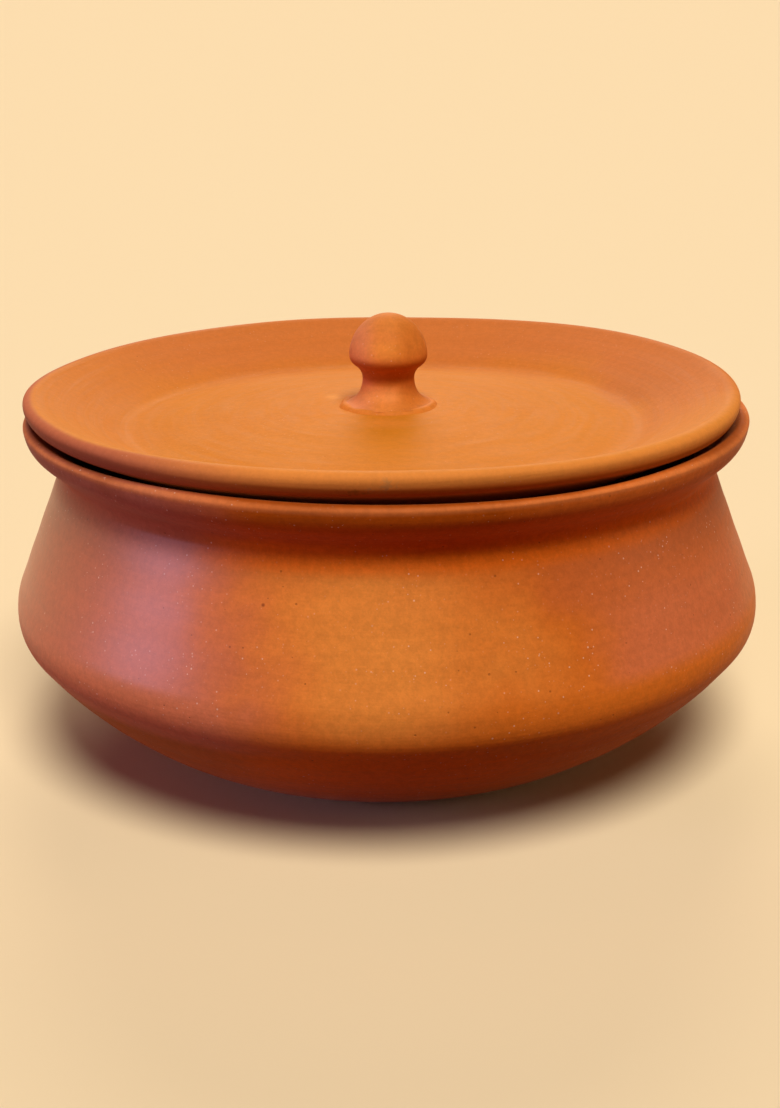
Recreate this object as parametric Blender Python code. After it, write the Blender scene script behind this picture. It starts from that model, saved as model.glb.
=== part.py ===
"""Clay curd pot: a thrown terracotta pot, its dished lid and the knob on the lid.

Every piece is turned about the Z axis. Lengths are in metres, +Z is up, and the
origin is the centre of the base, on the surface that the pot stands on.
"""
import math

import bmesh
import bpy
from mathutils import Vector

# The pot's outside, from the base up
BASE_R = 0.0624          # flat disc that the pot rests on
BOWL_SLOPE = 21.8        # degrees, how steeply the bowl leaves the base
BELLY_R = 0.1100         # widest radius, at the keel
BELLY_Z = 0.0420         # height of the keel
KEEL_ROUND = 0.0180      # the keel's rounding up into the shoulder
KEEL_UNDER = 0.0110      # and the tighter one down into the bowl
SHOULDER_IN = 0.0147     # how far the shoulder leans in, from keel to neck
NECK_RISE = 0.0410       # from the keel's height up to the neck's
NECK_ROUND = 0.0045      # the neck's outer hollow
RIM_FLARE = 0.0093       # how far the rim stands out past the neck
RIM_RISE = 0.0149        # from the neck's height up to the rim's top
RIM_THICK = 0.0040       # the rim is rolled to a half circle this thick

# The pot's clay
WALL = 0.0058
FLOOR = 0.0070

# The lid, a dish with a sloping band and a rolled lip
LID_THICK = 0.0060
LID_INSET = 0.0010       # the lip ends this far inside the rim's outer face
BAND_RUN = 0.0281        # from the lip's outer face in to the crease, level
BAND_SLOPE = 24.0        # degrees
CREASE_ROUND = 0.0060    # the hollow where the band meets the plate
PLATE_RISE = 0.0047      # how far the plate domes up at its centre

# The knob, thrown by itself and luted to the plate
KNOB_H = 0.0269
KNOB_R = 0.0114          # widest radius of the cap
KNOB_WIDE_Z = 0.0141     # height of the widest place above the plate
KNOB_CAP_ROUND = 0.0022  # rounding of the cap's lower edge
KNOB_NECK_R = 0.0076
KNOB_NECK_Z = 0.0073
KNOB_FOOT_R = 0.0134
KNOB_FOOT_EDGE = 0.0011  # height of the foot's blunt edge

# Clearances
SEAT_GAP = 0.0003        # lid's band over the pot's rim
LUTE_GAP = 0.0003        # knob's foot over the plate

# Faces round each piece
AROUND = 80
KNOB_AROUND = 40


def polar(centre, radius, degrees):
    """The point at an angle on a circle in the (radius, height) plane."""
    angle = math.radians(degrees)
    return centre + radius * Vector((math.cos(angle), math.sin(angle)))


def arc(centre, radius, start, end, steps):
    """Points along an arc, both ends included; angles in degrees."""
    turn = (end - start) / steps
    return [polar(centre, radius, start + turn * i) for i in range(steps + 1)]


def bearing(vector):
    """A vector's angle in degrees."""
    return math.degrees(math.atan2(vector.y, vector.x))


def tangent_bearing(lower, lower_reach, upper, upper_reach):
    """The outward bearing of the straight wall between two arcs.

    The wall climbs from lower to upper with its outside on the right. A reach is how
    far the wall lies out from that arc's centre, negative where the arc is a hollow.
    """
    run = upper - lower
    return bearing(run) - math.degrees(math.acos((lower_reach - upper_reach) / run.length))


def clear_scene():
    for found in list(bpy.data.objects):
        bpy.data.objects.remove(found, do_unlink=True)


def clay(name, colour, roughness):
    material = bpy.data.materials.new(name)
    material.use_nodes = True
    shader = material.node_tree.nodes["Principled BSDF"]
    shader.inputs["Base Color"].default_value = (*colour, 1.0)
    shader.inputs["Roughness"].default_value = roughness
    shader.inputs["Metallic"].default_value = 0.0
    return material


def turned(name, profile, around, material, parent=None):
    """One closed solid: a profile from the axis back to the axis, spun about Z."""
    shape = bmesh.new()
    points = [shape.verts.new((p.x, 0.0, p.y)) for p in profile]
    edges = [shape.edges.new(pair) for pair in zip(points, points[1:])]
    bmesh.ops.spin(shape, geom=points + edges, cent=(0, 0, 0), axis=(0, 0, 1),
                   angle=math.tau, steps=around, use_merge=True)
    bmesh.ops.remove_doubles(shape, verts=shape.verts, dist=1e-6)
    bmesh.ops.recalc_face_normals(shape, faces=shape.faces)
    mesh = bpy.data.meshes.new(name)
    shape.to_mesh(mesh)
    shape.free()
    mesh.shade_smooth()
    mesh.set_sharp_from_angle(angle=math.radians(40))
    mesh.materials.append(material)
    piece = bpy.data.objects.new(name, mesh)
    piece.parent = parent
    bpy.context.scene.collection.objects.link(piece)
    return piece


def pot_centres():
    """Centres of the arcs that carry the pot's wall above the bowl: keel, neck and rim."""
    keel = Vector((BELLY_R - KEEL_ROUND, BELLY_Z))
    neck_r = BELLY_R - SHOULDER_IN
    neck = Vector((neck_r + NECK_ROUND, BELLY_Z + NECK_RISE))
    rim = Vector((neck_r + RIM_FLARE - RIM_THICK / 2, neck.y + RIM_RISE - RIM_THICK / 2))
    return keel, neck, rim


def bowl_centres():
    """Centre of the keel's under round, and the bowl's circle with its radius.

    The bowl leaves the base's edge at BOWL_SLOPE and runs into the under round, which
    meets the keel's upper round at the belly's widest place.
    """
    under = Vector((BELLY_R - KEEL_UNDER, BELLY_Z))
    base_edge = Vector((BASE_R, 0.0))
    inward = polar(Vector((0.0, 0.0)), 1.0, 90.0 + BOWL_SLOPE)
    reach = base_edge - under
    radius = (KEEL_UNDER ** 2 - reach.length_squared) / (2 * (reach.dot(inward) + KEEL_UNDER))
    return under, base_edge + radius * inward, radius


def pot_profile():
    keel, neck, rim = pot_centres()
    under, bowl, bowl_r = bowl_centres()
    roll = RIM_THICK / 2

    shoulder = tangent_bearing(keel, KEEL_ROUND, neck, -NECK_ROUND)
    flare = tangent_bearing(neck, -NECK_ROUND, rim, roll)
    flare_inside = tangent_bearing(neck, -NECK_ROUND - WALL, rim, -roll)
    bowl_end = bearing(under - bowl)
    floor_start = -math.degrees(math.asin((bowl.y - FLOOR) / (bowl_r - WALL)))

    inside = [Vector((0.0, FLOOR))]
    inside += arc(bowl, bowl_r - WALL, floor_start, bowl_end, 5)
    inside += arc(under, KEEL_UNDER - WALL, bowl_end, 0, 4)[1:]
    inside += arc(keel, KEEL_ROUND - WALL, 0, shoulder, 3)[1:]
    inside += arc(neck, NECK_ROUND + WALL, shoulder + 180, flare_inside + 180, 4)
    lip = arc(rim, roll, flare_inside + 180, flare, 8)
    outside = arc(neck, NECK_ROUND, flare + 180, shoulder + 180, 4)
    outside += arc(keel, KEEL_ROUND, shoulder, 0, 4)
    outside += arc(under, KEEL_UNDER, 0, bowl_end, 5)[1:]
    outside += arc(bowl, bowl_r, bowl_end, BOWL_SLOPE - 90, 6)[1:]
    return inside + lip + outside + [Vector((0.0, 0.0))]


def lid_shape():
    """Where the lid's arcs lie, in heights above the pot's base.

    The underside of the band rests all round on the inner edge of the pot's rolled
    rim, which sets the height of the whole lid.
    """
    rim = pot_centres()[2]
    half = LID_THICK / 2
    slope = math.radians(BAND_SLOPE)
    lip_r = rim.x + RIM_THICK / 2 - LID_INSET - half
    apart = RIM_THICK / 2 + SEAT_GAP + half
    lip = Vector((lip_r, rim.y + (apart + math.sin(slope) * (lip_r - rim.x)) / math.cos(slope)))

    # The band's upper face runs in from the lip and meets the plate at a crease
    band_top = polar(lip, half, BAND_SLOPE + 90)
    crease_r = lip.x + half - BAND_RUN
    crease_z = band_top.y - (band_top.x - crease_r) * math.tan(slope)

    # The plate is a shallow cap of a sphere
    dome_r = (crease_r ** 2 + PLATE_RISE ** 2) / (2 * PLATE_RISE)
    dome = Vector((0.0, crease_z + PLATE_RISE - dome_r))

    # The crease's hollow touches both: CREASE_ROUND above the band and above the cap
    along = polar(Vector((0.0, 0.0)), 1.0, BAND_SLOPE)
    start = polar(lip, half + CREASE_ROUND, BAND_SLOPE + 90)
    offset = start - dome
    reach = dome_r + CREASE_ROUND
    back = offset.dot(along)
    slide = back - math.sqrt(back ** 2 - offset.length_squared + reach ** 2)
    crease = start - slide * along
    return lip, crease, dome, dome_r


def lid_profile():
    lip, crease, dome, dome_r = lid_shape()
    half = LID_THICK / 2
    band = BAND_SLOPE - 90
    plate_edge = bearing(crease - dome)
    above = arc(dome, dome_r, 90, plate_edge, 3)
    above += arc(crease, CREASE_ROUND, plate_edge - 180, band, 3)[1:]
    lip_roll = arc(lip, half, band + 180, band, 8)
    below = arc(crease, CREASE_ROUND + LID_THICK, band, plate_edge - 180, 3)
    below += arc(dome, dome_r - LID_THICK, plate_edge, 90, 3)[1:]
    return above + lip_roll + below


def knob_profile():
    """The knob's outline, with heights from the plate's top at its centre."""
    dome_r = lid_shape()[3]

    # Cap: a quarter of an ellipse from the top down to the widest place
    cap_h = KNOB_H - KNOB_WIDE_Z
    quarter = [math.radians(9.0 * i) for i in range(11)]
    cap = [Vector((KNOB_R * math.sin(a), KNOB_WIDE_Z + cap_h * math.cos(a))) for a in quarter]

    # Under the cap an S of two arcs draws in to the neck
    drop = KNOB_WIDE_Z - KNOB_NECK_Z
    draw_in = KNOB_R - KNOB_NECK_R
    sweep = 2 * math.degrees(math.atan2(draw_in, drop))
    hollow_r = drop / math.sin(math.radians(sweep)) - KNOB_CAP_ROUND
    under = Vector((KNOB_R - KNOB_CAP_ROUND, KNOB_WIDE_Z))
    hollow = Vector((KNOB_NECK_R + hollow_r, KNOB_NECK_Z))
    stem = arc(under, KNOB_CAP_ROUND, 0, -sweep, 4)[1:]
    stem += arc(hollow, hollow_r, 180 - sweep, 180, 4)[1:]

    # The foot flares out in a quarter of an ellipse to its blunt edge
    spread = KNOB_FOOT_R - KNOB_NECK_R
    fall = KNOB_NECK_Z - KNOB_FOOT_EDGE
    turns = [math.radians(18.0 * i) for i in range(1, 6)]
    foot = [Vector((KNOB_FOOT_R - spread * math.cos(a), KNOB_NECK_Z - fall * math.sin(a)))
            for a in turns]

    # Its underside follows the plate's dome
    centre = Vector((0.0, LUTE_GAP - dome_r))
    edge = math.degrees(math.acos(KNOB_FOOT_R / dome_r))
    underside = arc(centre, dome_r, edge, 90, 2)
    return cap + stem + foot + underside


def build():
    clear_scene()
    body_clay = clay("terracotta_pot", (0.60, 0.20, 0.050), 0.62)
    lid_clay = clay("terracotta_lid", (0.64, 0.20, 0.052), 0.58)
    knob_clay = clay("terracotta_knob", (0.58, 0.18, 0.048), 0.58)

    turned("pot", pot_profile(), AROUND, body_clay)

    # The lid and its knob lift off together along this axis
    lift = bpy.data.objects.new("lid_lift_axis", None)
    bpy.context.scene.collection.objects.link(lift)
    turned("lid", lid_profile(), AROUND, lid_clay, lift)
    knob = turned("lid_knob", knob_profile(), KNOB_AROUND, knob_clay, lift)
    dome, dome_r = lid_shape()[2:]
    knob.location.z = dome.y + dome_r


build()
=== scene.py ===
import math

import bpy
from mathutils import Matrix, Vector


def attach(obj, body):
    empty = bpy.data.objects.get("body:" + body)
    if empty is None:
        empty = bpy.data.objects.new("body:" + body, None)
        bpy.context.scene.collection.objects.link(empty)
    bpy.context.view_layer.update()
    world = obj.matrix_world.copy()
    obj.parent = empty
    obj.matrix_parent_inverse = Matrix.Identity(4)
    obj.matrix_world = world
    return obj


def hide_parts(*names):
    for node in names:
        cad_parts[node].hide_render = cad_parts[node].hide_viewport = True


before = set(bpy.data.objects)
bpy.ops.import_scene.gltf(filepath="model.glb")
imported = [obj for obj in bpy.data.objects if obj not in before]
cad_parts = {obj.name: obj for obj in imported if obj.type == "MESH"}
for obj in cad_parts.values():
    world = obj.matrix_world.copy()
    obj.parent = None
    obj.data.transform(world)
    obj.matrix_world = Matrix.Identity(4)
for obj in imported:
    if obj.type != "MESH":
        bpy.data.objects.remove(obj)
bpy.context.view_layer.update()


# Pot wall
# One wall of red clay, thrown on a wheel from the flat base up to the rolled rim, then
# turned thin and burnished outside and left with its finger rings inside.
BASE_R = 0.0624
BASE_ROUND = 0.0015      # the edge of the base is rounded this far in
BOWL_SLOPE = 21.8        # degrees, where the bowl leaves the base
BELLY_R = 0.1100
BELLY_Z = 0.0420
KEEL_ROUND = 0.0180      # up into the shoulder
KEEL_UNDER = 0.0110      # and tighter, down into the bowl
NECK_R = 0.0953
NECK_Z = 0.0830
NECK_ROUND = 0.0045
RIM_R = 0.1046
RIM_TOP = 0.0979
RIM_THICK = 0.0040
RIM_BULGE = 0.0015       # the flare is a little full between neck and rim
WALL = 0.0058
FLOOR = 0.0070
RING_STEP = 0.0024       # between the rings on a long run
FINGER_PITCH = 0.0090    # finger rings inside
FINGER_DEPTH = 0.00022
TURNING_PITCH = 0.0110   # what the turning tool leaves outside
TURNING_DEPTH = 0.00005
AROUND = 96              # points round the pot and the lid
HAND_SPAN = 0.055        # how far apart the hand's unevenness comes and goes
AXIS_R = 0.0040          # radius of the first and last rings, which close on the axis

# The skin of all the pieces: matt, with very little shine and almost flat
SKIN_ROUGHNESS = 0.50
SKIN_SHINE = 0.03
SKIN_RELIEF = 0.00008

# Colours of the fired clay: the body in its two tones, then what fire made of it, and the
# light and shade painted on it
POT_TONE = (0.72, 0.185, 0.028)
POT_DRIFT = (0.68, 0.168, 0.026)
FRONT_SHEEN_TONE = (0.80, 0.265, 0.044)
RIGHT_RED = (0.65, 0.152, 0.016)
RIGHT_ROSE = (0.62, 0.150, 0.048)
RIGHT_EDGE_SHEEN = (0.64, 0.180, 0.060)
RIGHT_SHOULDER_SHADE = (0.53, 0.118, 0.024)
LEFT_ROSE_SHEEN_AND_SHADE = (0.50, 0.120, 0.050)
BOWL_FRONT_BOUNCE = (0.84, 0.172, 0.004)
BOWL_RIGHT_SHADE = (0.59, 0.118, 0.004)
BOWL_LEFT_SHADE = (0.50, 0.122, 0.018)
BOWL_FOOT_SHADE = (0.62, 0.122, 0.004)
KEEL_RIGHT_LIT = (0.76, 0.184, 0.018)
KEEL_LEFT_LIT = (0.66, 0.185, 0.080)
NECK_SHADE_FRONT = (0.59, 0.112, 0.004)
NECK_SHADE_RIGHT = (0.72, 0.160, 0.022)
NECK_SHADE_LEFT = (0.46, 0.130, 0.080)
SHADOW_EDGE_LIGHT = (0.94, 0.178, 0.006)
INSIDE_TONE = (0.66, 0.172, 0.024)
INSIDE_DRIFT = (0.58, 0.145, 0.020)
RIM_HIGHLIGHT = (0.70, 0.215, 0.062)
RIM_CROWN_SHADE = (0.26, 0.050, 0.007)
LIME_PIT = (0.22, 0.035, 0.006)
PINHOLE = (0.16, 0.030, 0.005)
MICA_GLINT = (1.0, 0.84, 0.68)
BURNISH_SHEEN = (1.0, 0.80, 0.55)


def polar(centre, radius, degrees):
    """The point at an angle on a circle in the (radius, height) plane."""
    angle = math.radians(degrees)
    return centre + radius * Vector((math.cos(angle), math.sin(angle)))


def arc(centre, radius, start, end, steps):
    turn = (end - start) / steps
    return [polar(centre, radius, start + turn * i) for i in range(steps + 1)]


def bearing(vector):
    return math.degrees(math.atan2(vector.y, vector.x))


def wall_bearing(lower, lower_reach, upper, upper_reach):
    """The outward bearing of the straight wall that runs up from one arc to another."""
    run = upper - lower
    return bearing(run) - math.degrees(math.acos((lower_reach - upper_reach) / run.length))


def close_rings(path, step):
    """Rings no further apart than a step along the path."""
    rings = [path[0]]
    for start, end in zip(path, path[1:]):
        count = max(1, round((end - start).length / step))
        rings += [start.lerp(end, i / count) for i in range(1, count + 1)]
    return rings


def ripple(rings, pitch, depth):
    """Push rings in and out square to the wall, as fingers or a tool leave it."""
    travelled = 0.0
    rippled = [rings[0]]
    for before, ring, after in zip(rings, rings[1:], rings[2:]):
        travelled += (ring - before).length
        across = (after - before).normalized().orthogonal()
        rippled.append(ring + across * depth * math.sin(math.tau * travelled / pitch))
    return rippled + [rings[-1]]


def throw(name, rings, around):
    """Raise a closed form ring by ring, as clay is pulled up on the wheel.

    The first and last rings are small and close on the axis.
    """
    bpy.ops.object.select_all(action="DESELECT")
    bpy.ops.mesh.primitive_circle_add(vertices=around, radius=rings[0].x, fill_type="TRIFAN",
                                      location=(0, 0, rings[0].y))
    piece = bpy.context.object
    piece.name = name
    bpy.ops.object.transform_apply(location=True, rotation=True, scale=True)
    bpy.ops.object.mode_set(mode="EDIT")
    bpy.ops.mesh.select_all(action="SELECT")
    bpy.ops.mesh.region_to_loop()
    for ring, above in zip(rings, rings[1:]):
        widen = above.x / ring.x
        bpy.ops.mesh.extrude_region_move(TRANSFORM_OT_translate={"value": (0, 0, above.y - ring.y)})
        bpy.ops.transform.resize(value=(widen, widen, 1), center_override=(0, 0, above.y))
    bpy.ops.mesh.extrude_region_move()
    bpy.ops.mesh.merge(type="CENTER")
    bpy.ops.mesh.select_all(action="SELECT")
    bpy.ops.mesh.normals_make_consistent(inside=False)
    bpy.ops.object.mode_set(mode="OBJECT")
    bpy.ops.object.shade_smooth()
    return piece


def swelling(start, end, bulge, steps, lean=1.6):
    """A run between two points that stands out to the right.

    A lean above 1 puts the fullest place nearer to its end.
    """
    way = end - start
    out = Vector((way.y, -way.x)).normalized() * bulge
    run = [i / steps for i in range(1, steps)]
    return [start + way * t + out * math.sin(math.pi * t ** lean) for t in run]


def tug(piece, place, move, reach, grip=0.005):
    """Take hold of the clay at a place and draw it a little; what lies in reach follows."""
    bpy.ops.object.mode_set(mode="EDIT")
    bpy.ops.mesh.select_all(action="DESELECT")
    bpy.ops.object.mode_set(mode="OBJECT")
    place = Vector(place)
    for point in piece.data.vertices:
        point.select = (point.co - place).length < grip
    bpy.ops.object.mode_set(mode="EDIT")
    bpy.ops.transform.translate(value=move, use_proportional_edit=True,
                                proportional_edit_falloff="SMOOTH", proportional_size=reach)
    bpy.ops.object.mode_set(mode="OBJECT")


def shift(piece, aside):
    """Set a turned piece down a little to one side."""
    bpy.ops.object.mode_set(mode="EDIT")
    bpy.ops.mesh.select_all(action="SELECT")
    bpy.ops.transform.translate(value=(aside, 0, 0))
    bpy.ops.object.mode_set(mode="OBJECT")


def refine(piece):
    """Round a turned piece finer than the rings it was thrown from."""
    smooth = piece.modifiers.new("refine", "SUBSURF")
    smooth.levels = 1
    smooth.render_levels = 1
    bpy.ops.object.modifier_apply(modifier=smooth.name)


def hand_wobble(piece, span, depth, free_above=-1.0, ease_in=0.010):
    """Let the hand back into a turned form: broad, shallow unevenness above a height."""
    soft = piece.vertex_groups.new(name="soft")
    for point in piece.data.vertices:
        ease = min(max((point.co.z - free_above) / ease_in, 0.0), 1.0)
        soft.add([point.index], ease, "REPLACE")
    texture = bpy.data.textures.new("hand_" + piece.name, "CLOUDS")
    texture.noise_scale = span
    texture.noise_depth = 0
    wobble = piece.modifiers.new("hand", "DISPLACE")
    wobble.texture = texture
    wobble.texture_coords = "LOCAL"
    wobble.direction = "NORMAL"
    wobble.vertex_group = soft.name
    wobble.strength = depth
    wobble.mid_level = 0.5
    bpy.ops.object.modifier_apply(modifier=wobble.name)
    piece.vertex_groups.clear()


keel = Vector((BELLY_R - KEEL_ROUND, BELLY_Z))
under_keel = Vector((BELLY_R - KEEL_UNDER, BELLY_Z))
neck = Vector((NECK_R + NECK_ROUND, NECK_Z))
rim = Vector((RIM_R - RIM_THICK / 2, RIM_TOP - RIM_THICK / 2))

# The bowl is one arc that leaves the base's edge and runs into the keel's under round;
# the shoulder and the flare run straight between the rounds that they touch
base_edge = Vector((BASE_R, 0.0))
inward = polar(Vector((0, 0)), 1.0, 90 + BOWL_SLOPE)
reach = base_edge - under_keel
bowl_r = (KEEL_UNDER ** 2 - reach.length_squared) / (2 * (reach.dot(inward) + KEEL_UNDER))
bowl = base_edge + bowl_r * inward

shoulder_out = wall_bearing(keel, KEEL_ROUND, neck, -NECK_ROUND)
flare_out = wall_bearing(neck, -NECK_ROUND, rim, RIM_THICK / 2)
flare_in = wall_bearing(neck, -NECK_ROUND - WALL, rim, -RIM_THICK / 2)
bowl_end = bearing(under_keel - bowl)
floor_edge = -math.degrees(math.asin((bowl.y - FLOOR) / (bowl_r - WALL)))

outside = [Vector((r, 0)) for r in (AXIS_R, 0.020, 0.040, BASE_R - BASE_ROUND)]
outside += arc(bowl, bowl_r, BOWL_SLOPE - 90, bowl_end, 18)
outside += arc(under_keel, KEEL_UNDER, bowl_end, 0, 7)[1:]
outside += arc(keel, KEEL_ROUND, 0, shoulder_out, 6)[1:]
outside += arc(neck, NECK_ROUND, shoulder_out + 180, flare_out + 180, 7)

# The rim's outer edge was trimmed crisp, under a crown that rolls over to the inside;
# its points are out and up from the middle of the roll, as shares of the roll's radius
trimmed = [(0.96, 0.06), (0.99, 0.22), (0.98, 0.42), (0.88, 0.60), (0.70, 0.76), (0.48, 0.88),
           (0.22, 0.96)]
rim_edge = [rim + Vector(place) * RIM_THICK / 2 for place in trimmed]
flare = swelling(outside[-1], rim_edge[0], RIM_BULGE, 10)
lip = rim_edge[1:] + arc(rim, RIM_THICK / 2, 90, flare_in + 180, 5)
inside = arc(neck, NECK_ROUND + WALL, flare_in + 180, shoulder_out + 180, 7)
inside += arc(keel, KEEL_ROUND - WALL, shoulder_out, 0, 5)
inside += arc(under_keel, KEEL_UNDER - WALL, 0, bowl_end, 5)[1:]
inside += arc(bowl, bowl_r - WALL, bowl_end, floor_edge, 16)[1:]
inside += [Vector((r, FLOOR)) for r in (0.040, 0.018, AXIS_R)]

outer_rings = ripple(close_rings(outside + flare, RING_STEP), TURNING_PITCH, TURNING_DEPTH)
inner_rings = ripple(close_rings(inside, RING_STEP), FINGER_PITCH, FINGER_DEPTH)
pot_wall = throw("pot_wall", outer_rings + lip + inner_rings, AROUND)
refine(pot_wall)

# The rim sagged a little at the back left and spread on the right; the base stayed flat
tug(pot_wall, (-0.040, 0.095, 0.097), move=(0, 0, -0.0006), reach=0.080)
tug(pot_wall, (0.104, 0.000, 0.090), move=(0.0006, 0, 0), reach=0.050)
hand_wobble(pot_wall, HAND_SPAN, depth=0.0009, free_above=0.0005)

# Which side of the wall each point is on, for colours that belong to one side only
within = pot_wall.data.attributes.new("within", "FLOAT", "POINT")
middle = Vector((0, 0, 0.050))
for point in pot_wall.data.vertices:
    faces_in = point.normal.dot(point.co - middle) < 0
    within.data[point.index].value = 1.0 if faces_in else 0.0


def add(tree, kind, sockets=None, **options):
    """Place a shader node; sockets holds values, or links from other nodes."""
    placed = tree.nodes.new("ShaderNode" + kind)
    for option, value in options.items():
        setattr(placed, option, value)
    for label, value in (sockets or {}).items():
        if isinstance(value, bpy.types.NodeSocket):
            tree.links.new(value, placed.inputs[label])
        else:
            placed.inputs[label].default_value = value
    return placed


def mix(tree, share, first, second):
    """Blend two colours; a colour mix keeps its sockets at 0, 6 and 7 and gives its result at 2."""
    colours = [(*tone, 1) if isinstance(tone, tuple) else tone for tone in (first, second)]
    sockets = {0: share, 6: colours[0], 7: colours[1]}
    return add(tree, "Mix", sockets, data_type="RGBA").outputs[2]


def ramp(tree, value, low, high, to_low=0.0, to_high=1.0):
    """A value spread from one range to another, eased at both ends."""
    sockets = {"Value": value, "From Min": low, "From Max": high, "To Min": to_low, "To Max": to_high}
    return add(tree, "MapRange", sockets, interpolation_type="SMOOTHSTEP").outputs["Result"]


def maths(tree, how, first, second=0.0, third=0.0):
    return add(tree, "Math", {0: first, 1: second, 2: third}, operation=how).outputs["Value"]


def times(tree, first, second):
    """Where two masks meet, or a mask made weaker by a share."""
    return maths(tree, "MULTIPLY", first, second)


def belt(tree, value, start, whole, fade, end):
    """A mask that rises from start to whole and falls again from fade to end."""
    return times(tree, ramp(tree, value, start, whole), ramp(tree, value, end, fade))


def frayed(tree, value, ragged, depth):
    """A value pushed about by a ragged mask, so that what it bounds has no clean edge."""
    return maths(tree, "MULTIPLY_ADD", ragged, depth, value)


def vector_maths(tree, how, first, second=None):
    """A step of vector arithmetic; a length or distance comes out as a plain value."""
    sockets = {0: first} if second is None else {0: first, 1: second}
    result = "Value" if how in ("LENGTH", "DISTANCE") else "Vector"
    return add(tree, "VectorMath", sockets, operation=how).outputs[result]


def axis_distance(tree, place):
    """How far a place is from the wheel's axis."""
    return vector_maths(tree, "LENGTH", vector_maths(tree, "MULTIPLY", place, (1, 1, 0)))


def new_group(name, inputs):
    """A node group that takes a place on the piece and some sizes, and gives one mask."""
    group = bpy.data.node_groups.new(name, "ShaderNodeTree")
    group.interface.new_socket("Vector", in_out="INPUT", socket_type="NodeSocketVector")
    for label, value in inputs.items():
        socket = group.interface.new_socket(label, in_out="INPUT", socket_type="NodeSocketFloat")
        socket.default_value = value
    group.interface.new_socket("Mask", in_out="OUTPUT", socket_type="NodeSocketFloat")
    return group, group.nodes.new("NodeGroupInput").outputs


def finish_group(group, mask):
    result = group.nodes.new("NodeGroupOutput")
    group.links.new(mask, result.inputs["Mask"])
    return group


def use_group(tree, group, place, **values):
    placed = tree.nodes.new("ShaderNodeGroup")
    placed.node_tree = group
    tree.links.new(place, placed.inputs["Vector"])
    for label, value in values.items():
        placed.inputs[label].default_value = value
    return placed.outputs["Mask"]


def make_kiln_tone():
    """Broad drifts of colour from flame and smoke in the kiln."""
    group, given = new_group("kiln_tone", {"Scale": 14.0, "Low": 0.35, "High": 0.65})
    clouds = add(group, "TexNoise", {"Vector": given["Vector"], "Scale": given["Scale"],
                                     "Detail": 3.0, "Roughness": 0.55})
    eased = ramp(group, clouds.outputs["Fac"], given["Low"], given["High"])
    return finish_group(group, eased)


def make_turning_marks():
    """Fine lines round the piece from turning and burnishing, broken along their length."""
    group, given = new_group("turning_marks", {"Lines": 900.0, "Sweep": 3.0})
    level = vector_maths(group, "MULTIPLY", given["Vector"], (1, 1, 0))
    around = vector_maths(group, "NORMALIZE", level)
    swept = add(group, "VectorMath", {0: around, "Scale": given["Sweep"]}, operation="SCALE")
    height = add(group, "SeparateXYZ", {"Vector": given["Vector"]}).outputs["Z"]
    run = maths(group, "MULTIPLY_ADD", vector_maths(group, "LENGTH", level), 0.6, height)
    lines = maths(group, "MULTIPLY", run, given["Lines"])
    side = add(group, "SeparateXYZ", {"Vector": swept.outputs["Vector"]}).outputs
    spiral = add(group, "CombineXYZ", {"X": side["X"], "Y": side["Y"], "Z": lines}).outputs["Vector"]
    streaks = add(group, "TexNoise", {"Vector": spiral, "Scale": 1.0, "Detail": 3.0, "Roughness": 0.6})
    return finish_group(group, ramp(group, streaks.outputs["Fac"], 0.3, 0.7))


def make_clay_grain():
    """Sand and grog just under the burnished skin."""
    group, given = new_group("clay_grain", {"Scale": 1500.0})
    fine = add(group, "TexNoise", {"Vector": given["Vector"], "Scale": given["Scale"],
                                   "Detail": 2.0, "Roughness": 0.7})
    return finish_group(group, ramp(group, fine.outputs["Fac"], 0.3, 0.7))


def make_specks():
    """Small round specks of mixed sizes, one in some of the cells: mica or pinholes."""
    inputs = {"Cells": 500.0, "Size": 0.14, "Share": 0.2}
    group, given = new_group("specks", inputs)
    cells = add(group, "TexVoronoi", {"Vector": given["Vector"], "Scale": given["Cells"]})
    chance = add(group, "SeparateColor", {"Color": cells.outputs["Color"]}).outputs
    kept = maths(group, "LESS_THAN", chance["Red"], given["Share"])
    spread = maths(group, "MULTIPLY_ADD", chance["Green"], 0.9, 0.5)
    size = maths(group, "MULTIPLY", given["Size"], spread)
    inner = maths(group, "MULTIPLY", size, 0.5)
    dot = ramp(group, cells.outputs["Distance"], inner, size, 1.0, 0.0)
    return finish_group(group, times(group, kept, dot))


kiln_tone = make_kiln_tone()
turning_marks = make_turning_marks()
clay_grain = make_clay_grain()
specks = make_specks()


def fired_clay(name, tone, drift):
    """Unglazed terracotta in two kiln tones that drift into each other.

    Gives the material, its tree, the place on the piece and the colour so far, so that a
    piece can add colours of its own before it is finished.
    """
    material = bpy.data.materials.new(name)
    material.use_nodes = True
    tree = material.node_tree
    place = add(tree, "TexCoord").outputs["Object"]
    drifts = use_group(tree, kiln_tone, place, Scale=16.0, Low=0.38, High=0.68)
    colour = mix(tree, drifts, tone, drift)
    return material, tree, place, colour


def smudge(tree, place, centre, stretch, size, ragged, depth):
    """A ragged patch round a place; a stretch below 1 draws it out along that axis."""
    near = vector_maths(tree, "SUBTRACT", place, centre)
    away = vector_maths(tree, "LENGTH", vector_maths(tree, "MULTIPLY", near, stretch))
    away = frayed(tree, away, ragged, size)
    return times(tree, ramp(tree, away, size * 1.3, size * 0.6), depth)


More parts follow.
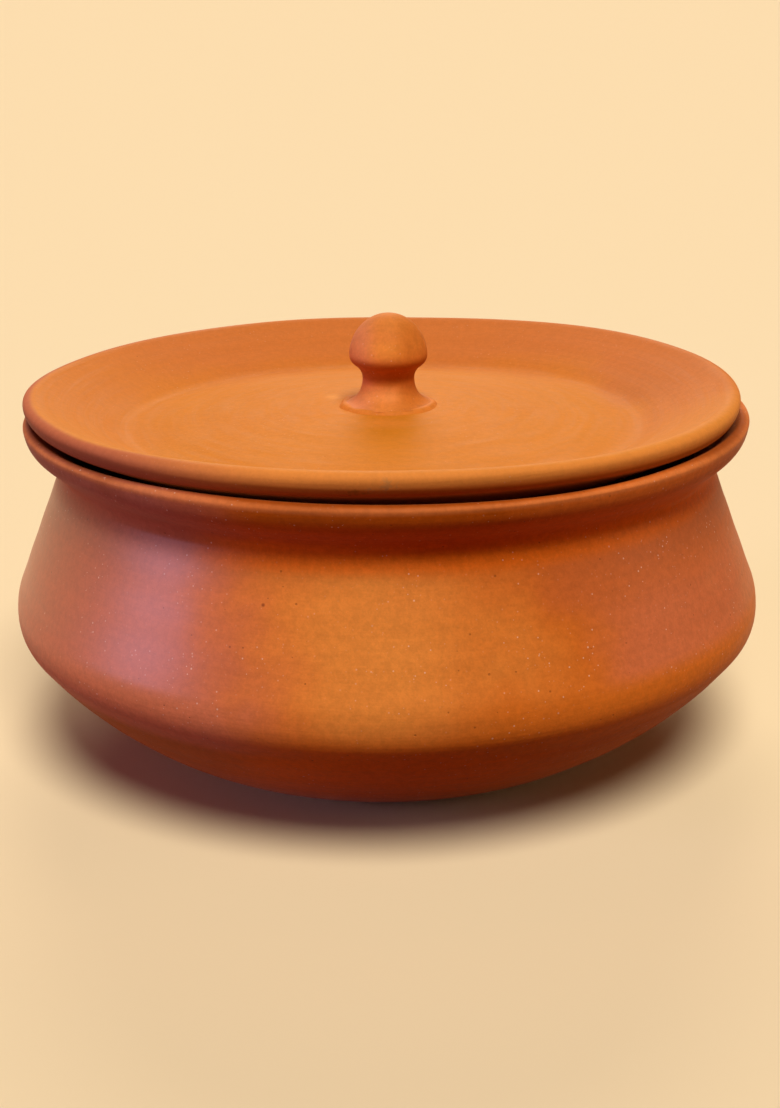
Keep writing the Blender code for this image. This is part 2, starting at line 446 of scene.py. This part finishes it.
def finish_clay(piece, material, place, colour, turned, mottle, glitter, drifted=0.0):
    """Work turning marks, grain, pits and mica into the colours, and put the clay on.

    Turned is how strong the turning marks are, mottle the grain and glitter the mica;
    drifted is a mask of where more mica lies.
    """
    tree = material.node_tree
    shader = tree.nodes["Principled BSDF"]
    marks = use_group(tree, turning_marks, place, Lines=900.0, Sweep=3.0)
    broad_marks = use_group(tree, turning_marks, place, Lines=220.0, Sweep=1.2)
    grain = use_group(tree, clay_grain, place, Scale=1500.0)
    blotches = use_group(tree, clay_grain, place, Scale=480.0)

    # Marks and grain make the clay's own tone a little lighter and darker
    shade = maths(tree, "MULTIPLY_ADD", marks, turned, 1.0 - turned - mottle)
    shade = maths(tree, "MULTIPLY_ADD", broad_marks, turned, shade)
    shade = maths(tree, "MULTIPLY_ADD", grain, mottle * 0.6, shade)
    shade = maths(tree, "MULTIPLY_ADD", blotches, mottle * 1.15, shade)
    colour = add(tree, "VectorMath", {0: colour, "Scale": shade}, operation="SCALE").outputs["Vector"]

    # Small pits all over, and a few pinholes
    pits = use_group(tree, specks, place, Cells=300.0, Size=0.09, Share=0.5)
    pinholes = use_group(tree, specks, place, Cells=62.0, Size=0.026, Share=0.22)
    pits = maths(tree, "MAXIMUM", times(tree, pits, 0.45 * glitter), pinholes)
    colour = mix(tree, pits, colour, PINHOLE)

    # Mica lies in drifts: fine dust in all of them and a few big flakes, painted pale as glints
    sown = use_group(tree, kiln_tone, place, Scale=55.0, Low=0.42, High=0.60)
    sown = maths(tree, "MAXIMUM", maths(tree, "MULTIPLY_ADD", sown, 0.35, 0.05), drifted)
    dust = use_group(tree, specks, place, Cells=1100.0, Size=0.20, Share=0.20)
    flakes = use_group(tree, specks, place, Cells=780.0, Size=0.18, Share=0.40)
    mica = maths(tree, "MAXIMUM", times(tree, dust, 0.30), flakes)
    mica = times(tree, mica, times(tree, sown, glitter))
    colour = mix(tree, mica, colour, MICA_GLINT)
    tree.links.new(colour, shader.inputs["Base Color"])

    # Turning marks are a little rougher than the skin between them, and mica smoother
    polish = maths(tree, "MULTIPLY_ADD", marks, 0.10, SKIN_ROUGHNESS)
    polish = maths(tree, "MULTIPLY_ADD", mica, -0.25, polish)
    tree.links.new(polish, shader.inputs["Roughness"])

    # Marks and grain stand up under the hand, and pits go down deeper than either
    relief = maths(tree, "MULTIPLY_ADD", marks, 0.5, times(tree, grain, 0.35))
    relief = maths(tree, "MULTIPLY_ADD", pits, -6.0, relief)
    bump = add(tree, "Bump", {"Strength": 0.5, "Distance": SKIN_RELIEF, "Height": relief})
    tree.links.new(bump.outputs["Normal"], shader.inputs["Normal"])
    shader.inputs["Specular IOR Level"].default_value = SKIN_SHINE
    piece.data.materials.clear()
    piece.data.materials.append(material)


clay, tree, place, colour = fired_clay("pot_terracotta", POT_TONE, POT_DRIFT)
spot = add(tree, "SeparateXYZ", {"Vector": place}).outputs
height = spot["Z"]
ragged = use_group(tree, kiln_tone, place, Scale=24.0, Low=0.3, High=0.7)
bare = add(tree, "Attribute", attribute_name="within").outputs["Fac"]
east = frayed(tree, spot["X"], ragged, 0.020)
west = frayed(tree, times(tree, spot["X"], -1.0), ragged, 0.020)

# The fire left the front yellower, the right side redder and a rosy bloom on the left;
# the redder, darker right is partly painted shade, where the light falls off to that side
colour = mix(tree, ramp(tree, east, 0.022, 0.050), colour, RIGHT_RED)
colour = mix(tree, ramp(tree, east, 0.050, 0.082), colour, RIGHT_ROSE)
# Painted sheen along the right edge, where the light grazes it
colour = mix(tree, ramp(tree, east, 0.096, 0.112), colour, RIGHT_EDGE_SHEEN)
# Painted shade on the right shoulder, below the rim
shaded = times(tree, ramp(tree, east, 0.034, 0.064), ramp(tree, height, 0.060, 0.072))
colour = mix(tree, times(tree, shaded, 0.8), colour, RIGHT_SHOULDER_SHADE)
# The rosy left is partly a painted lavender sheen from the cool light, and painted shade
colour = mix(tree, ramp(tree, west, 0.028, 0.072), colour, LEFT_ROSE_SHEEN_AND_SHADE)
# The yellower front is partly a painted sheen of the light from the front
front_sheen = vector_maths(tree, "DISTANCE", place, (0.003, -0.103, 0.061))
front_sheen = frayed(tree, front_sheen, ragged, 0.018)
colour = mix(tree, ramp(tree, front_sheen, 0.056, 0.012), colour, FRONT_SHEEN_TONE)

# Below the keel the colour is painted shade: a deep red of light bounced between clay and
# floor, lighter at the front where the floor throws light back, darker at the sides and base
bowl_shade_and_bounce = mix(tree, ramp(tree, east, 0.036, 0.070), BOWL_FRONT_BOUNCE, BOWL_RIGHT_SHADE)
bowl_shade_and_bounce = mix(tree, ramp(tree, west, 0.024, 0.064), bowl_shade_and_bounce, BOWL_LEFT_SHADE)
bowl_shade_and_bounce = mix(tree, ramp(tree, height, 0.028, 0.008), bowl_shade_and_bounce, BOWL_FOOT_SHADE)
colour = mix(tree, ramp(tree, height, 0.044, 0.031), colour, bowl_shade_and_bounce)

# Painted light on the turn of the keel at the sides, where the low side lights reach under it
beside = maths(tree, "MAXIMUM", ramp(tree, east, 0.030, 0.060), ramp(tree, west, 0.024, 0.050))
keel_side_light = times(tree, belt(tree, height, 0.0295, 0.0340, 0.0440, 0.0500), beside)
keel_light_tone = mix(tree, ramp(tree, west, 0.018, 0.060), KEEL_RIGHT_LIT, KEEL_LEFT_LIT)
colour = mix(tree, keel_side_light, colour, keel_light_tone)

# The belly was burnished with a pebble from the keel to the neck, most on the left
burnished = belt(tree, height, 0.0380, 0.0520, 0.0755, 0.0855)
burnished = times(tree, burnished, ramp(tree, west, 0.015, 0.070, 0.15, 1.0))
burnished = times(tree, burnished, maths(tree, "SUBTRACT", 1.0, bare))
shader = tree.nodes["Principled BSDF"]
tree.links.new(burnished, shader.inputs["Coat Weight"])
shader.inputs["Coat Roughness"].default_value = 0.38
shader.inputs["Coat IOR"].default_value = 1.5
shader.inputs["Sheen Weight"].default_value = 0.10
shader.inputs["Sheen Roughness"].default_value = 0.35
shader.inputs["Sheen Tint"].default_value = (*BURNISH_SHEEN, 1)

# The neck and rim are painted darker, as shade under the rim's overhang and the lid's edge
neck_shade_height = frayed(tree, height, ragged, 0.004)
neck_shade_height = maths(tree, "SUBTRACT", neck_shade_height, ramp(tree, west, 0.020, 0.060, 0.0, 0.004))
neck_shade = mix(tree, ramp(tree, east, 0.030, 0.070), NECK_SHADE_FRONT, NECK_SHADE_RIGHT)
neck_shade = mix(tree, ramp(tree, west, 0.030, 0.080), neck_shade, NECK_SHADE_LEFT)
colour = mix(tree, ramp(tree, neck_shade_height, 0.078, 0.089), colour, neck_shade)

# Just below that painted shade, a red painted light where the rim's shadow gives way
shadow_edge_light = belt(tree, height, 0.0765, 0.0805, 0.0830, 0.0870)
shadow_edge_light = times(tree, shadow_edge_light, ramp(tree, west, 0.070, 0.030, 0.0, 0.7))
colour = mix(tree, shadow_edge_light, colour, SHADOW_EDGE_LIGHT)

# Inside, the clay is as it came from the kiln
colour = mix(tree, bare, colour, mix(tree, ragged, INSIDE_TONE, INSIDE_DRIFT))

# A painted highlight along the rim's edge, and painted shade on its crown under the lid's lip
radius = axis_distance(tree, place)
edge = frayed(tree, radius, ragged, 0.0004)
crown = frayed(tree, radius, ragged, 0.0016)
rim_highlight = times(tree, ramp(tree, edge, 0.1032, 0.1042), ramp(tree, height, 0.0952, 0.0964))
rim_crown_shade = times(tree, ramp(tree, crown, 0.1055, 0.1030), ramp(tree, height, 0.0915, 0.0955))
colour = mix(tree, times(tree, rim_highlight, 0.6), colour, RIM_HIGHLIGHT)
colour = mix(tree, times(tree, rim_crown_shade, 0.8), colour, RIM_CROWN_SHADE)

# One deep pinhole, left where a grain of lime burst out
from_pit = vector_maths(tree, "DISTANCE", place, (-0.0303, -0.0955, 0.0705))
pit = ramp(tree, from_pit, 0.0007, 0.0002)
colour = mix(tree, times(tree, pit, 0.8), colour, LIME_PIT)

# Where mica drifted thickest, painted as glints where the lights catch the wall: its middle,
# how it is drawn out, its size and how dense it lies
mica_glint_drifts = [((-0.0680, -0.0850, 0.0490), (1.0, 1.0, 1.6), 0.0150, 1.0),
               ((-0.0600, -0.0830, 0.0660), (1.0, 1.0, 1.0), 0.0060, 0.7),
               ((0.0020, -0.1050, 0.0570), (0.5, 1.0, 1.0), 0.0110, 0.35)]
drift = 0.0
for centre, stretch, size, depth in mica_glint_drifts:
    drift = maths(tree, "MAXIMUM", drift, smudge(tree, place, centre, stretch, size, ragged, depth))
finish_clay(pot_wall, clay, place, colour, turned=0.05, mottle=0.11, glitter=1.0, drifted=drift)

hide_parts("pot")
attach(pot_wall, "pot")


# Lid
# A thrown dish of the same clay: a gently domed plate, a sloping band and a rolled lip,
# whose band rests on the pot's rim. It was set down while soft, so its lip isn't quite true.
LID_THICK = 0.0060
LID_INSET = 0.0010       # its edge stands this far inside the rim's
BAND_RUN = 0.0281        # from the lip's edge in to the crease
BAND_SLOPE = 26.0        # degrees
LID_LIFT = 0.0010        # warped in the fire, it stands a little off the rim
LID_SHIFT = -0.0012      # and isn't set down quite in the middle
CREASE_ROUND = 0.0110
PLATE_RISE = 0.0047      # the dome of the plate
SEAT_GAP = 0.0003        # between the band and the rim
WARP_R = 0.100           # where the lip was bent
WARP_Z = 0.104
WARP_REACH = 0.090

# Its own colours: the plate, the band round it, the lip's face, marks left in use, and the
# light and shade painted on it
LID_TONE = (0.67, 0.214, 0.018)
LID_DRIFT = (0.65, 0.196, 0.016)
LID_YELLOW = (0.66, 0.205, 0.006)
BAND_FRONT = (0.715, 0.250, 0.042)
BAND_BACK = (0.61, 0.174, 0.034)
LIP_PALE = (0.79, 0.268, 0.050)
LIP_SHADE_LEFT = (0.52, 0.145, 0.064)
LIP_UNDER_SHADE = (0.40, 0.095, 0.010)
LIP_UNDER_SHADE_LEFT = (0.34, 0.095, 0.045)
GREY_SCUFF = (0.34, 0.20, 0.085)
OILY_THUMB = (0.20, 0.095, 0.006)
SLIP_SMEAR_HIGHLIGHT = (0.84, 0.330, 0.060)
LIGHT_OVER_KNOB_SHADOW = (0.77, 0.240, 0.034)

half = LID_THICK / 2
slope = math.radians(BAND_SLOPE)
lip_r = RIM_R - LID_INSET - half
apart = RIM_THICK / 2 + SEAT_GAP + half
lip_z = rim.y + (apart + math.sin(slope) * (lip_r - rim.x)) / math.cos(slope)
lid_lip = Vector((lip_r, lip_z + LID_LIFT))
band_top = polar(lid_lip, half, BAND_SLOPE + 90)
crease_r = RIM_R - LID_INSET - BAND_RUN
crease_z = band_top.y - (band_top.x - crease_r) * math.tan(slope)
dome_r = (crease_r ** 2 + PLATE_RISE ** 2) / (2 * PLATE_RISE)
dome = Vector((0.0, crease_z + PLATE_RISE - dome_r))
plate_top = dome.y + dome_r

# The hollow at the crease touches the band and the dome
band_way = polar(Vector((0, 0)), 1.0, BAND_SLOPE)
hollow_start = polar(lid_lip, half + CREASE_ROUND, BAND_SLOPE + 90)
offset = hollow_start - dome
back = offset.dot(band_way)
slide = back - math.sqrt(back ** 2 - offset.length_squared + (dome_r + CREASE_ROUND) ** 2)
crease = hollow_start - slide * band_way

band_out = BAND_SLOPE - 90
plate_edge = bearing(crease - dome)
near_axis = 90 - math.degrees(AXIS_R / dome_r)

# Round the lid: the underside from the axis out, the lip, and back over the top
beneath = arc(dome, dome_r - LID_THICK, near_axis, plate_edge, 14)
beneath += arc(crease, CREASE_ROUND + LID_THICK, plate_edge - 180, band_out, 6)[1:]
beneath += [polar(lid_lip, half, band_out)]

# The lip's face was trimmed upright above and rounded off below, with a broad crown;
# its points are out and up from the middle of the lip, in mm of a lip 6 mm thick
lip_face = [(1.95, -2.05), (2.4, -1.35), (2.75, -0.65), (3.0, 0.1), (3.12, 0.8), (3.12, 1.4),
            (3.0, 2.0), (2.5, 2.7), (1.7, 3.12), (0.7, 3.25), (-0.3, 3.1)]
lid_roll = [lid_lip + Vector(place) * half / 3.0 for place in lip_face]
above = [polar(lid_lip, half, band_out + 180)]
above += arc(crease, CREASE_ROUND, band_out, plate_edge - 180, 5)
above += arc(dome, dome_r, plate_edge, near_axis, 14)[1:]

lid_rings = ripple(close_rings(beneath, RING_STEP), FINGER_PITCH, TURNING_DEPTH)
lid_rings += lid_roll
lid_rings += ripple(close_rings(above, RING_STEP), TURNING_PITCH, TURNING_DEPTH)
lid_dish = throw("lid_dish", lid_rings, AROUND)
refine(lid_dish)
shift(lid_dish, LID_SHIFT)

# Round the lip: degrees from the right-hand side, how far it rose and how far it spread
warps = [(-90, 0.0008, -0.0001), (-30, -0.0004, -0.0003), (30, 0.0009, -0.0017),
         (90, -0.0010, -0.0002), (150, -0.0010, -0.0006), (210, -0.0001, -0.0010)]
for turn, rise, out in warps:
    side = polar(Vector((0, 0)), 1.0, turn)
    tug(lid_dish, (*side * WARP_R, WARP_Z), (*side * out, rise), WARP_REACH)
hand_wobble(lid_dish, HAND_SPAN, depth=0.0006)

clay, tree, place, colour = fired_clay("lid_terracotta", LID_TONE, LID_DRIFT)
spot = add(tree, "SeparateXYZ", {"Vector": place}).outputs
radius = axis_distance(tree, place)
ragged = use_group(tree, kiln_tone, place, Scale=24.0, Low=0.3, High=0.7)

# The band fired redder than the plate at the back and paler at the front
banded = ramp(tree, frayed(tree, radius, ragged, 0.012), 0.066, 0.092)
depth = frayed(tree, spot["Y"], ragged, 0.030)
band = mix(tree, ramp(tree, depth, -0.055, 0.060), BAND_FRONT, BAND_BACK)
colour = mix(tree, banded, colour, band)
yellower = times(tree, ramp(tree, spot["X"], 0.0, -0.070), ramp(tree, spot["Y"], 0.070, 0.030))
colour = mix(tree, times(tree, yellower, 0.4), colour, LID_YELLOW)

# The lip's face is paler, from the rib that trimmed it, and painted darker and rosier on the
# left as shade
face = ramp(tree, frayed(tree, radius, ragged, 0.0006), 0.1012, 0.1030)
left = ramp(tree, spot["X"], -0.020, -0.075)
colour = mix(tree, face, colour, mix(tree, left, LIP_PALE, LIP_SHADE_LEFT))
# Painted shade on the lower face and underside of the lip, deeper on the left
low = maths(tree, "MULTIPLY_ADD", spot["X"], 0.012, spot["Z"])
low = ramp(tree, frayed(tree, low, ragged, 0.0006), 0.1026, 0.1014)
low = times(tree, times(tree, low, 0.7), ramp(tree, radius, 0.1005, 0.1020))
colour = mix(tree, low, colour, mix(tree, left, LIP_UNDER_SHADE, LIP_UNDER_SHADE_LEFT))

# A grey scuff and an oily thumb mark on the front of the lip, slip smeared by the knob and
# painted pale as its ridge's highlight, and painted light over the knob's shadow in front of it:
# colour, middle, how it is drawn out, size, raggedness and strength
speckled = use_group(tree, clay_grain, place, Scale=420.0)
handling = [
    (GREY_SCUFF, (-0.0012, -0.1034, 0.1028), (0.40, 1.0, 1.0), 0.0022, speckled, 0.40),
    (OILY_THUMB, (-0.0080, -0.1034, 0.1003), (0.45, 1.0, 1.0), 0.0024, speckled, 0.45),
    (SLIP_SMEAR_HIGHLIGHT, (-0.0155, 0.0100, plate_top), (1.0, 0.6, 1.0), 0.0042, ragged, 0.70),
    (LIGHT_OVER_KNOB_SHADOW, (0.0010, -0.0210, plate_top), (0.8, 1.1, 1.0), 0.0100, ragged, 0.75),
]
for tone, centre, stretch, size, edge, strength in handling:
    mark = smudge(tree, place, centre, stretch, size, edge, strength)
    colour = mix(tree, mark, colour, tone)
finish_clay(lid_dish, clay, place, colour, turned=0.025, mottle=0.06, glitter=0.25)

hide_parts("lid")
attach(lid_dish, "lid")


# Knob
# A small ball knob thrown off the hump, with a drawn-in neck and a flared foot, stuck to
# the middle of the lid with slip before both were fired.
KNOB_H = 0.0269
KNOB_R = 0.0114          # at its widest
KNOB_WIDE_Z = 0.0148
KNOB_CAP_ROUND = 0.0034  # where the cap turns under
KNOB_NECK_R = 0.0076
KNOB_NECK_Z = 0.0079
KNOB_FOOT_R = 0.0134
KNOB_FOOT_EDGE = 0.0007
LUTE_GAP = 0.0003        # filled with slip
KNOB_SHIFT = 0.0008      # luted on a little right of the middle
KNOB_EDGE = 0.0003       # the foot's crisp lower edge
KNOB_AXIS_R = 0.0030     # the first and last rings
KNOB_AROUND = 48

KNOB_TONE = (0.73, 0.235, 0.046)
KNOB_DRIFT = (0.68, 0.205, 0.040)
KNOB_LIT = (0.90, 0.340, 0.060)
KNOB_ROSE = (0.73, 0.245, 0.100)
KNOB_RIGHT_SHADE = (0.58, 0.160, 0.022)
KNOB_FOOT_LIT = (0.88, 0.330, 0.090)
KNOB_SHADOW = (0.30, 0.055, 0.004)

# The neck's hollow is one arc that runs into the round under the cap
drop = KNOB_WIDE_Z - KNOB_NECK_Z
draw_in = KNOB_R - KNOB_NECK_R
sweep = 2 * math.degrees(math.atan2(draw_in, drop))
stem_r = drop / math.sin(math.radians(sweep)) - KNOB_CAP_ROUND
under = Vector((KNOB_R - KNOB_CAP_ROUND, KNOB_WIDE_Z))
stem = Vector((KNOB_NECK_R + stem_r, KNOB_NECK_Z))

# The flare of the foot and the crown of the cap are quarters of ellipses
spread = KNOB_FOOT_R - KNOB_NECK_R
fall = KNOB_NECK_Z - KNOB_FOOT_EDGE
cap_h = KNOB_H - KNOB_WIDE_Z
foot_turns = [math.radians(7.5 * i) for i in range(12, 0, -1)]
cap_turns = [math.radians(6.0 * i) for i in range(15, 0, -1)]

knob_rings = [Vector((r, LUTE_GAP)) for r in (KNOB_AXIS_R, 0.009, KNOB_FOOT_R - KNOB_EDGE)]
knob_rings += [Vector((KNOB_FOOT_R, LUTE_GAP + KNOB_EDGE))]
knob_rings += [Vector((KNOB_FOOT_R - spread * math.cos(a), KNOB_NECK_Z - fall * math.sin(a)))
               for a in foot_turns]
knob_rings += arc(stem, stem_r, 180, 180 - sweep, 8)
knob_rings += arc(under, KNOB_CAP_ROUND, -sweep, 0, 5)[1:-1]
knob_rings += [Vector((KNOB_R * math.sin(a), KNOB_WIDE_Z + cap_h * math.cos(a))) for a in cap_turns]
knob_rings = [ring + Vector((0, plate_top)) for ring in knob_rings]
ball_knob = throw("ball_knob", knob_rings, KNOB_AROUND)
refine(ball_knob)
shift(ball_knob, KNOB_SHIFT)
hand_wobble(ball_knob, span=0.020, depth=0.0005)

clay, tree, place, colour = fired_clay("knob_terracotta", KNOB_TONE, KNOB_DRIFT)
spot = add(tree, "SeparateXYZ", {"Vector": place}).outputs
side = spot["X"]
rise = maths(tree, "SUBTRACT", spot["Z"], plate_top + KNOB_NECK_Z)

# Painted light round the knob's widest, where light off the plate reaches under the cap; rosy
# on the left, and painted shade on the right
cap_light = belt(tree, rise, 0.0068, 0.0086, 0.0100, 0.0140)
bloom = ramp(tree, side, -0.0010, -0.0075)
right_shade = ramp(tree, side, 0.0008, 0.0070)
colour = mix(tree, times(tree, cap_light, 0.6), colour, KNOB_LIT)
colour = mix(tree, times(tree, bloom, 0.8), colour, KNOB_ROSE)
colour = mix(tree, times(tree, right_shade, 0.75), colour, KNOB_RIGHT_SHADE)

# Painted light on the flare of the foot, on its left and middle, and painted shade under the cap
foot_light = belt(tree, rise, -0.0062, -0.0036, -0.0016, -0.0006)
foot_light = times(tree, foot_light, ramp(tree, side, 0.0060, 0.0010))
colour = mix(tree, times(tree, foot_light, 0.75), colour, KNOB_FOOT_LIT)
beneath_cap = belt(tree, rise, -0.0012, 0.0012, 0.0050, 0.0078)
colour = mix(tree, times(tree, beneath_cap, 0.75), colour, KNOB_SHADOW)
finish_clay(ball_knob, clay, place, colour, turned=0.05, mottle=0.09, glitter=0.4)

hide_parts("lid_knob")
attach(ball_knob, "lid")


# Knob slip
# The wet clay that holds the knob: a thin bed under its foot, squeezed out all round and
# wiped off with a finger, so that it runs uneven between the foot and the plate.
SLIP_TONE = (0.70, 0.215, 0.034)
SLIP_DRIFT = (0.66, 0.200, 0.028)
SLIP_STEP = 0.0008       # between its rings
SLIP_AROUND = 64

# Its outline: mm out from the axis and up from the top of the plate
bed = [(4.0, 0.0), (12.0, -0.15), (14.1, -0.40), (14.5, -0.32), (14.2, -0.05), (13.9, 0.28),
       (13.6, 0.58), (13.2, 0.82), (12.6, 0.92), (11.8, 0.78), (11.0, 0.38), (4.0, 0.38)]
bed_rings = [Vector((r, z + plate_top * 1000)) / 1000 for r, z in bed]
knob_slip = throw("knob_slip", close_rings(bed_rings, SLIP_STEP), SLIP_AROUND)
refine(knob_slip)
shift(knob_slip, KNOB_SHIFT)
hand_wobble(knob_slip, span=0.006, depth=0.0007)

slip, tree, place, colour = fired_clay("slip_terracotta", SLIP_TONE, SLIP_DRIFT)
finish_clay(knob_slip, slip, place, colour, turned=0.02, mottle=0.10, glitter=0.3)

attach(knob_slip, "lid")


# Studio
# A plain pale floor that runs out to a pale surround, soft light from above and behind, a
# cooler one low on the left and a warm one low on the right, and the camera.
PAPER_R = 30
PAPER_AROUND = 128
CAMERA_X = 0.00098
CAMERA_AWAY = 0.48436    # in front of the axis
CAMERA_H = 0.21536       # above the floor
CAMERA_DOWN = 18.74      # degrees below level
CAMERA_ROLL = 0.45       # degrees; the right side of the picture stands higher
FOCAL_MM = 54.95
SENSOR_MM = 36.0
PAPER = (0.912, 0.742, 0.492, 1)
PAPER_GLOW = (0.125, 0.026, 0.003, 1)    # what the floor throws back onto the pot
SURROUND = (0.980, 0.7275, 0.425, 1)
DUSK = (1.0, 0.40, 0.15, 1)              # what light the surround itself gives


def seen_as(tree, seen, cast):
    """One look for what sees a thing straight, and another for the light that it casts."""
    ray = add(tree, "LightPath").outputs
    straight = maths(tree, "MAXIMUM", ray["Is Camera Ray"], ray["Is Glossy Ray"])
    straight = maths(tree, "MAXIMUM", straight, ray["Is Transmission Ray"])
    return add(tree, "MixShader", {0: straight, 1: cast.outputs[0], 2: seen.outputs[0]}).outputs[0]


bpy.ops.object.select_all(action="DESELECT")
bpy.ops.mesh.primitive_circle_add(vertices=PAPER_AROUND, radius=PAPER_R, fill_type="NGON",
                                  location=(0, 0, 0))
floor = bpy.context.object
floor.name = "floor"
paper = bpy.data.materials.new("floor_paper")
paper.use_nodes = True
tree = paper.node_tree
tree.nodes.remove(tree.nodes["Principled BSDF"])
pale = add(tree, "BsdfDiffuse", {"Color": PAPER})
warm = add(tree, "BsdfDiffuse", {"Color": PAPER_GLOW})
paper_look = seen_as(tree, pale, warm)
tree.links.new(paper_look, tree.nodes["Material Output"].inputs["Surface"])
floor.data.materials.append(paper)


def soft_sun(name, strength, colour, spread, elevation, azimuth):
    """A broad soft light; azimuth 0 is the camera's side and 90 the right."""
    lamp = bpy.data.lights.new(name, "SUN")
    lamp.energy = strength
    lamp.color = colour
    lamp.angle = math.radians(spread)
    holder = bpy.data.objects.new(name, lamp)
    holder.rotation_euler = (math.radians(90 - elevation), 0, math.radians(azimuth))
    bpy.context.scene.collection.objects.link(holder)


soft_sun("key", 2.74, colour=(1.0, 0.95, 0.84), spread=30, elevation=61, azimuth=10)
soft_sun("back", 1.32, colour=(1.0, 0.90, 0.75), spread=34, elevation=31, azimuth=180)
soft_sun("left_window", 1.15, colour=(0.72, 0.54, 0.90), spread=26, elevation=7, azimuth=-76)
soft_sun("right_window", 0.55, colour=(1.0, 0.78, 0.52), spread=30, elevation=8, azimuth=88)

world = bpy.data.worlds.new("surround")
bpy.context.scene.world = world
world.use_nodes = True
tree = world.node_tree
tree.nodes.clear()
pale = add(tree, "Background", {"Color": SURROUND, "Strength": 1.0})
dim = add(tree, "Background", {"Color": DUSK, "Strength": 0.04})
add(tree, "OutputWorld", {"Surface": seen_as(tree, pale, dim)})

scene = bpy.context.scene
scene.view_settings.view_transform = "Standard"
lens = bpy.data.cameras.new("camera")
lens.lens = FOCAL_MM
lens.sensor_width = SENSOR_MM
camera = bpy.data.objects.new("camera", lens)
camera.location = (CAMERA_X, -CAMERA_AWAY, CAMERA_H)
camera.rotation_mode = "XYZ"
tilt = math.radians(90 - CAMERA_DOWN)
roll = math.radians(-CAMERA_ROLL)
camera.rotation_euler = (tilt, 0, 0)
camera.rotation_euler.rotate_axis("Z", roll)
scene.collection.objects.link(camera)
scene.camera = camera
